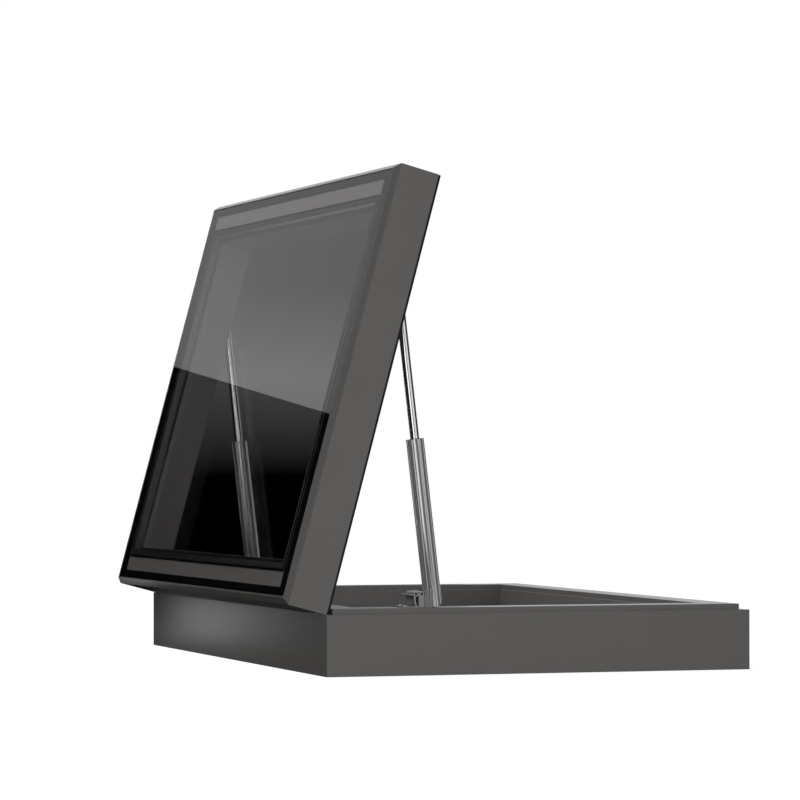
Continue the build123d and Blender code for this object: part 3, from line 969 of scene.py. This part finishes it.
@dataclass
class Fixings:
    """Screws of the hinge leaves and of the strut brackets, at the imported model's places."""

    leaf_screw: Screw = Screw(
        Head.COUNTERSUNK, shank_mm=1.5, head_mm=2.9, length_mm=7.0, socket_mm=1.1, socket_depth_mm=0.9
    )
    bracket_screw: Screw = Screw(
        Head.PAN,
        shank_mm=2.4,
        head_mm=4.4,
        length_mm=12.0,
        socket_mm=1.5,
        socket_depth_mm=1.7,
        rise_mm=2.8,
    )
    hinge_end_inset_mm: float = 230.0
    leaf_screw_pitch_mm: float = 35.0
    leaf_screw_inset_mm: float = 10.0
    sash_leaf_rise_mm: float = 6.0
    bracket_x_mm: float = -308.0
    bracket_offsets_mm: tuple[float, float] = (12.0, -16.0)
    bracket_foot_mm: float = 3.0
    hanger_x_mm: tuple[float, float] = (260.0, 308.0)
    hanger_offset_mm: float = -36.0
    hanger_rise_mm: float = 55.0

    def leaf_places(self, level: float) -> list[Point]:
        """List the places of three screws in each of three hinge leaves.

        Args:
            level: height of the screws' heads.

        Returns:
            The places on the closed skylight, in millimetres.
        """
        x = self.leaf_screw_inset_mm - PLAN_LENGTH / 2
        end = PLAN_WIDTH / 2 - self.hinge_end_inset_mm
        pitch = self.leaf_screw_pitch_mm
        return [(x, row + step, level) for row in (-end, 0.0, end) for step in (-pitch, 0.0, pitch)]

    def build(self) -> None:
        """Set the screws of both halves of the hinges, and of the lower and upper brackets."""
        strut_y = PLAN_WIDTH / 2 - STRUT_INSET
        foot = RING_TOP + self.bracket_foot_mm
        bracket_places = [
            (self.bracket_x_mm, side.value * (strut_y + offset), foot)
            for side in Side
            for offset in self.bracket_offsets_mm
        ]
        hanger_places = [
            (x, side.value * (strut_y + self.hanger_offset_mm), SHOULDER_HEIGHT + self.hanger_rise_mm)
            for side in Side
            for x in self.hanger_x_mm
        ]
        base_leaf_places = self.leaf_places(SHOULDER_HEIGHT)
        sash_leaf_places = self.leaf_places(SHOULDER_HEIGHT + self.sash_leaf_rise_mm)
        leaf, pan = self.leaf_screw, self.bracket_screw
        up, down = Facing.UP, Facing.DOWN
        sets = (
            ScrewSet("base_leaf_screws", "base_hinge_screws", "base", leaf, up, base_leaf_places),
            ScrewSet("sash_leaf_screws", "sash_hinge_screws", "sash", leaf, down, sash_leaf_places),
            ScrewSet("bracket_pan_screws", "strut_bracket_screws", "base", pan, up, bracket_places),
            ScrewSet("hanger_pan_screws", "upper_bracket_screws", "sash", pan, down, hanger_places),
        )
        for screws in sets:
            screws.build()


@dataclass
class StrutWiper:
    """Rubber wiper in the strut's gland, with a raised lip round the rod.

    The groove and the lip are points of its top: how far out from the rod, and how high.
    """

    side: Side
    reach_mm: float = 352.7
    height_mm: float = 4.0
    outer_mm: float = 13.4
    inner_mm: float = 10.1
    chamfer_mm: float = 0.4
    groove_mm: tuple[tuple[float, float], ...] = ((1.9, 0.0), (1.4, -0.7), (0.9, -0.6))
    lip_mm: tuple[tuple[float, float], ...] = ((0.45, 0.9), (0.0, 1.1))
    weld_mm: float = 0.001
    segments: int = 60
    sharp_deg: float = 40.0

    def profile(self) -> Profile:
        """Draw the wiper's closed section.

        Returns:
            Radius and height of each ring, the last one on the first.
        """
        low = -self.height_mm
        points = [(self.inner_mm, low), (self.outer_mm, low), (self.outer_mm, -self.chamfer_mm)]
        points.append((self.outer_mm - self.chamfer_mm, 0.0))
        points += [(self.inner_mm + out, up) for out, up in self.groove_mm + self.lip_mm]
        return points + points[:1]

    def build(self) -> None:
        """Turn the wiper, carry it up the strut and seat it."""
        foot = Vector(JOINTS[f"{self.side.word}_strut_pivot"]["pos_m"])
        along = Vector(JOINTS[f"{self.side.word}_strut_slide"]["axis"]).normalized()
        build = lathe(self.profile(), self.segments)
        bmesh.ops.remove_doubles(build, verts=build.verts, dist=self.weld_mm * MM)
        turn = along.to_track_quat("Z", "Y").to_matrix().to_4x4()
        place = Matrix.Translation(foot + along * self.reach_mm * MM) @ turn
        piece = new_piece(f"strut_wiper_lip_{self.side.word}", build, place)
        smooth_by_angle(piece, self.sharp_deg)
        seat(piece, f"{self.side.word}_strut_tube", "black_rubber", f"strut_wiper_{self.side.word}")


# Studio
def raised(row: list[Vector], height: float) -> list[Vector]:
    """Row of points, lifted by a height."""
    return [point + Vector((0, 0, height)) for point in row]


def panels_between(low: list[Vector], high: list[Vector]) -> list[Panel]:
    """Panels between a lower and an upper row of points."""
    return [(a, b, d, c) for a, b, c, d in zip(low, low[1:], high, high[1:])]


def level_panel(patch: tuple[float, float, float, float], height: float) -> Panel:
    """Corners of a level panel, from its reach in X and in Y."""
    x0, x1, y0, y1 = patch
    return tuple(Vector((x, y, height)) for x, y in ((x0, y0), (x1, y0), (x1, y1), (x0, y1)))


@dataclass(frozen=True)
class Flag:
    """Studio flag that the camera can't see: its panels, and its tone from one height to another."""

    name: str
    panels: list[Panel]
    heights: tuple[float, float] = (0.0, 1.0)
    tones: tuple[float, float] = (0.0, 0.0)
    seen_in: SeenIn = SeenIn.REFLECTIONS

    def material(self) -> bpy.types.Material:
        """Build the flag's glow, which goes with height.

        Returns:
            The material.
        """
        made = bpy.data.materials.new(self.name)
        made.use_nodes = True
        tree = made.node_tree
        tree.nodes.clear()
        place = add_node(tree, "ShaderNodeTexCoord").outputs["Object"]
        height = add_node(tree, "ShaderNodeSeparateXYZ", {"Vector": place}).outputs["Z"]
        tone = add_node(
            tree,
            "ShaderNodeMapRange",
            {
                "Value": height,
                "From Min": self.heights[0],
                "From Max": self.heights[1],
                "To Min": self.tones[0],
                "To Max": self.tones[1],
            },
        )
        glow = add_node(tree, "ShaderNodeEmission", {"Strength": tone.outputs["Result"]})
        add_node(tree, "ShaderNodeOutputMaterial", {"Surface": glow.outputs[0]})
        return made

    def build(self) -> None:
        """Hang the flag so that only reflections, or glass, can see it."""
        build = bmesh.new()
        for panel in self.panels:
            build.faces.new([build.verts.new(corner) for corner in panel])
        piece = new_piece(self.name, build)
        piece.data.materials.append(self.material())
        piece.visible_camera = False
        piece.visible_diffuse = False
        piece.visible_shadow = False
        piece.visible_volume_scatter = False
        piece.visible_glossy = self.seen_in is not SeenIn.GLASS
        piece.visible_transmission = self.seen_in is not SeenIn.REFLECTIONS


@dataclass(frozen=True)
class Lamp:
    """Soft square lamp: its place, the point that it faces, its power in watts and its side."""

    name: str
    place: Point
    aim: Point
    power: float
    size: float

    def build(self) -> None:
        """Hang the lamp, out of sight and out of reflections."""
        lamp = bpy.data.lights.new(self.name, "AREA")
        lamp.energy = self.power
        lamp.size = self.size
        holder = bpy.data.objects.new(self.name, lamp)
        holder.location = self.place
        holder.rotation_euler = (Vector(self.aim) - Vector(self.place)).to_track_quat("-Z", "Y").to_euler()
        holder.visible_camera = False
        holder.visible_glossy = False
        bpy.context.scene.collection.objects.link(holder)


@dataclass
class Studio:
    """White studio: floor, world, lamps, the flags that shape reflections, and the camera.

    The outer pane mirrors a dark field up to the mirror edge and a grey one above it, the back
    flags lie behind the glass, and the strut flags are arcs, in degrees from the camera's side.
    """

    floor_span: float = 80.0
    floor_drop_mm: float = 0.6
    floor_colour: str = "#909090"
    floor_lift: float = 0.88
    world_colour: str = "#ffffff"
    ambient: float = 0.45
    camera_place: Point = (-2.8857, -8.4507, 0.4718)
    camera_turn_deg: tuple[float, float, float] = (90.937, 0.0, -18.343)
    camera_lens_mm: float = 166.54
    lamps: tuple[Lamp, ...] = (
        Lamp("key_lamp", (-1.6, -4.2, 0.9), aim=(0.0, 0.0, 0.4), power=88.0, size=2.5),
        Lamp("fill_lamp", (-2.0, 0.6, 2.2), aim=(-0.4, 0.0, 0.6), power=52.0, size=1.2),
    )
    mirror_edge: tuple[Point, Point] = ((-1.487, 3.11, 1.212), (-1.285, 4.62, 1.314))
    mirror_stretch_shares: tuple[float, float] = (2.0, 3.0)
    mirror_rise: float = 4.0
    mirror_heights: tuple[float, float] = (1.0, 1.6)
    mirror_tones: tuple[float, float] = (0.35, 0.4)
    mirror_inside_tones: tuple[float, float] = (0.25, 0.08)
    hinge_card: tuple[Point, Point] = ((-0.862, 0.973, 0.0), (-0.67, 1.027, 0.0))
    hinge_card_top: float = 0.12
    hinge_card_tone: float = 1.3
    back_place: float = 3.2
    back_span: tuple[float, float] = (-0.5, 6.0)
    back_heights: tuple[float, float, float] = (0.42, 0.75, 1.05)
    back_tones: tuple[float, float, float] = (0.0, 0.13, 0.02)
    ring_span: tuple[float, float] = (-0.5, 1.2)
    ring_flag_top: float = 1.0
    flag_reach: float = 2.6
    flag_top: float = 4.0
    strut_flags: tuple[tuple[str, int, int, float], ...] = (
        ("left_dark", -78, -26, 0.0),
        ("strip_light", -26, 2, 1.8),
        ("middle_dark", 2, 20, 0.06),
        ("right_dark", 68, 150, 0.05),
    )
    floor_flags: tuple[tuple[float, float, float, float], ...] = ((-4, -0.5, -3, 10), (-0.5, 4, 0.8, 10))

    def shown(self, tree: Tree) -> Socket:
        """Add the test for rays from the camera, off gloss or through glass.

        Args:
            tree: tree that gets the test.

        Returns:
            The test's result: 1 for such rays and 0 for others.
        """
        path = add_node(tree, "ShaderNodeLightPath").outputs
        first = add_node(
            tree,
            "ShaderNodeMath",
            {0: path["Is Camera Ray"], 1: path["Is Glossy Ray"]},
            operation="MAXIMUM",
        )
        both = add_node(
            tree,
            "ShaderNodeMath",
            {0: first.outputs[0], 1: path["Is Transmission Ray"]},
            operation="MAXIMUM",
        )
        return both.outputs[0]

    def build_world(self) -> None:
        """Make the world white to the eye and a plain soft light on the object."""
        world = bpy.data.worlds.new("white_studio")
        bpy.context.scene.world = world
        world.use_nodes = True
        tree = world.node_tree
        tree.nodes.clear()
        strength = add_node(
            tree, "ShaderNodeMapRange", {"Value": self.shown(tree), "To Min": self.ambient, "To Max": 1.0}
        )
        light = add_node(
            tree,
            "ShaderNodeBackground",
            {"Color": linear(self.world_colour), "Strength": strength.outputs["Result"]},
        )
        add_node(tree, "ShaderNodeOutputWorld", {"Surface": light.outputs["Background"]})

    def build_floor(self) -> None:
        """Lay a pale floor that fades into the background but keeps the object's shadow."""
        build = bmesh.new()
        bmesh.ops.create_grid(build, x_segments=1, y_segments=1, size=self.floor_span / 2)
        floor = new_piece("floor", build, Matrix.Translation((0, 0, -self.floor_drop_mm * MM)))
        material = bpy.data.materials.new("pale_floor")
        material.use_nodes = True
        tree = material.node_tree
        tree.nodes.clear()
        lift = add_node(
            tree, "ShaderNodeMath", {0: self.shown(tree), 1: self.floor_lift}, operation="MULTIPLY"
        )
        glow = add_node(tree, "ShaderNodeEmission", {"Strength": lift.outputs[0]})
        matt = add_node(tree, "ShaderNodeBsdfDiffuse", {"Color": linear(self.floor_colour)})
        both = add_node(tree, "ShaderNodeAddShader", {0: glow.outputs[0], 1: matt.outputs[0]})
        add_node(tree, "ShaderNodeOutputMaterial", {"Surface": both.outputs[0]})
        floor.data.materials.append(material)

    def mirror_flags(self) -> list[Flag]:
        """List the flags that the outer pane mirrors.

        Returns:
            The dark field, and the grey one as its front and its inner face mirror it.
        """
        near, far = (Vector(end) for end in self.mirror_edge)
        run = far - near
        before, after = self.mirror_stretch_shares
        edge = [near - run * before, far + run * after]
        foot = [Vector((end.x, end.y, -self.floor_drop_mm * MM)) for end in edge]
        grey = panels_between(edge, raised(edge, self.mirror_rise))
        return [
            Flag("mirror_dark", panels_between(foot, edge), seen_in=SeenIn.BOTH),
            Flag("mirror_grey", grey, self.mirror_heights, self.mirror_tones),
            Flag("mirror_grey_inside", grey, self.mirror_heights, self.mirror_inside_tones, SeenIn.GLASS),
        ]

    def frame_flags(self) -> list[Flag]:
        """List the flags that the frame's faces mirror.

        Returns:
            The light patch on the hinge face, and the dark behind the far ring.
        """
        card = [Vector(end) for end in self.hinge_card]
        card_tones = (self.hinge_card_tone, self.hinge_card_tone)
        ring = [Vector((x, self.back_place, 0)) for x in self.ring_span]
        return [
            Flag("hinge_card", panels_between(card, raised(card, self.hinge_card_top)), tones=card_tones),
            Flag("ring_dark", panels_between(ring, raised(ring, self.ring_flag_top))),
        ]

    def back_flags(self) -> list[Flag]:
        """List the flags that show through the glass.

        Returns:
            The part that gets lighter with height, and the part that gets darker above it.
        """
        low, middle, high = self.back_heights
        low_tone, middle_tone, high_tone = self.back_tones
        foot = [Vector((x, self.back_place, 0)) for x in self.back_span]
        waist = raised(foot, middle)
        return [
            Flag(
                "behind_glass_low",
                panels_between(foot, waist),
                (low, middle),
                (low_tone, middle_tone),
                SeenIn.GLASS,
            ),
            Flag(
                "behind_glass_high",
                panels_between(waist, raised(foot, self.flag_top)),
                (middle, high),
                (middle_tone, high_tone),
                SeenIn.GLASS,
            ),
        ]

    def arc(self, start_deg: int, end_deg: int) -> list[Panel]:
        """Draw an upright arc round the right strut's foot.

        Args:
            start_deg: where it starts, from the camera's side, positive to its right.
            end_deg: where it ends.

        Returns:
            Its panels, one to a degree.
        """
        pivot = Vector(JOINTS["right_strut_pivot"]["pos_m"])
        back = math.radians(self.camera_turn_deg[2] - RIGHT_ANGLE)
        low = []
        for step in range(start_deg, end_deg + 1):
            angle = back + math.radians(step)
            reach = Vector((math.cos(angle), math.sin(angle), 0)) * self.flag_reach
            low.append(Vector((pivot.x, pivot.y, 0)) + reach)
        return panels_between(low, raised(low, self.flag_top))

    def build_flags(self) -> None:
        """Hang the flags of the glass and the frame, the struts' stripes and the dark floor."""
        flags = self.mirror_flags() + self.frame_flags() + self.back_flags()
        for name, start, end, tone in self.strut_flags:
            flags.append(Flag(name, self.arc(start, end), tones=(tone, tone)))
        ground = -self.floor_drop_mm * MM / 2
        flags.append(Flag("floor_dark", [level_panel(patch, ground) for patch in self.floor_flags]))
        for flag in flags:
            flag.build()

    def build_camera(self) -> None:
        """Stand the camera where the photograph was taken from."""
        camera = bpy.data.cameras.new("camera")
        camera.lens = self.camera_lens_mm
        holder = bpy.data.objects.new("camera", camera)
        holder.location = self.camera_place
        holder.rotation_euler = [math.radians(a) for a in self.camera_turn_deg]
        bpy.context.scene.collection.objects.link(holder)
        bpy.context.scene.camera = holder

    def build(self) -> None:
        """Set up the whole studio."""
        bpy.context.scene.view_settings.view_transform = "Standard"
        self.build_world()
        self.build_floor()
        for lamp in self.lamps:
            lamp.build()
        self.build_flags()
        self.build_camera()


def dress_cad_nodes() -> None:
    """Give every CAD node the material of its slot."""
    for name, node in frame["nodes"].items():
        node.data.materials.clear()
        node.data.materials.append(MATERIALS[SLOT_OF[name]])


def main() -> None:
    """Build the sub-assemblies in order, then the studio."""
    logging.basicConfig(level=logging.INFO, format="%(name)s: %(message)s")
    dress_cad_nodes()
    FrameEdges().build()
    LippedSeal("lipped_sash_seal", "black_rubber", "sash_seal", hinge_inset_mm=7.0).build()
    BeadedGasket("beaded_glazing_gasket", "black_rubber", "glazing_gasket").build()
    Pane("tinted_outer_pane", "tinted_glass", "outer_pane", inset_mm=15.0, low_mm=101.5).build()
    Pane("clear_inner_pane", "clear_glass", "inner_pane", inset_mm=70.0, low_mm=79.5).build()
    Fixings().build()
    for side in Side:
        StrutWiper(side).build()
    Studio().build()


if __name__ == "__main__":
    main()
